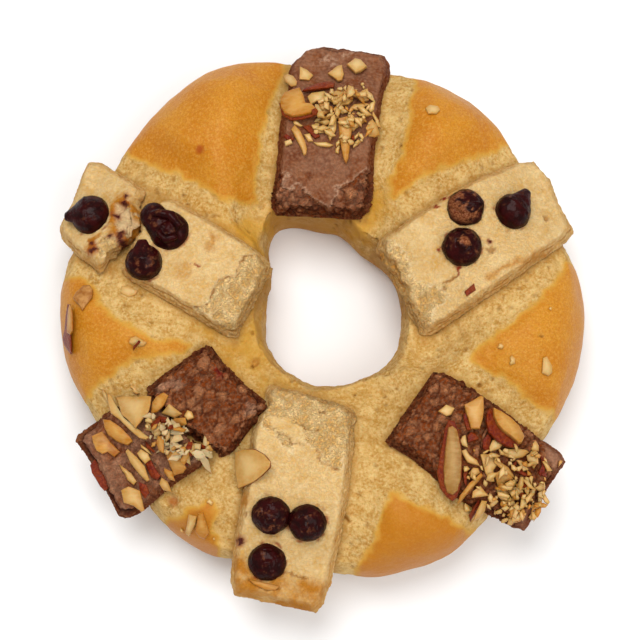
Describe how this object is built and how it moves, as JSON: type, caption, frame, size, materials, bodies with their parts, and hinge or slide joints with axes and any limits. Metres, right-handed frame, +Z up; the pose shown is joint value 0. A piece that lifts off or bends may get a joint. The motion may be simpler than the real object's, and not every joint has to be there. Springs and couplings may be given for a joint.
{
  "type": "roscon de reyes",
  "caption": "Ring-shaped festive sweet bread with draped sugar-paste slabs, chopped almonds and chocolate drops; a single-serving holiday bread to show, serve or pick up.",
  "frame": {"origin": "on the underside, at the middle of the whole outline seen from above", "axes": "+Z up through the hole; +Y towards the end of the cocoa slab that lies at the top of the ring when it is looked down on; +X to the right of that"},
  "size_m": [0.1576, 0.1735, 0.0474],
  "materials": {
    "dough": "baked sweet dough, egg-washed gold on the lobes and pale matte crumb beside the slabs",
    "cocoa_paste": "matt cocoa sugar paste with a paler flaking crust",
    "cream_paste": "matt cream sugar paste, smooth crust over a rough crumb",
    "chocolate": "dark chocolate with a soft sheen",
    "almond": "toasted chopped almond, some with brown skin"
  },
  "bodies": {
    "root": {"bread_ring": "dough", "slab_cocoa_top": "cocoa_paste", "slab_cream_upper_right": "cream_paste", "slab_cocoa_lower_right": "cocoa_paste", "slab_cream_bottom": "cream_paste", "slab_cocoa_lower_left_inner": "cocoa_paste", "slab_cocoa_lower_left_outer": "cocoa_paste", "slab_cream_upper_left_inner": "cream_paste", "slab_cream_upper_left_outer": "cream_paste", "drop_upper_left_1": "chocolate", "drop_upper_left_2": "chocolate", "drop_upper_left_3": "chocolate", "drop_upper_right_1": "chocolate", "drop_upper_right_2": "chocolate", "drop_upper_right_3": "chocolate", "drop_bottom_1": "chocolate", "drop_bottom_2": "chocolate", "drop_bottom_3": "chocolate", "almond_top_half": "almond", "almond_top_slice": "almond", "almond_top_wedge": "almond", "almond_lower_right_skinned": "almond", "almond_lower_right_half": "almond", "almond_lower_right_wedge": "almond", "almond_lower_left_fan": "almond", "almond_lower_left_strip": "almond", "almond_lower_left_tilted": "almond", "almond_lower_left_blade": "almond", "almond_bottom_tip": "almond", "almond_rim_stick": "almond"}
  },
  "joints": []
}
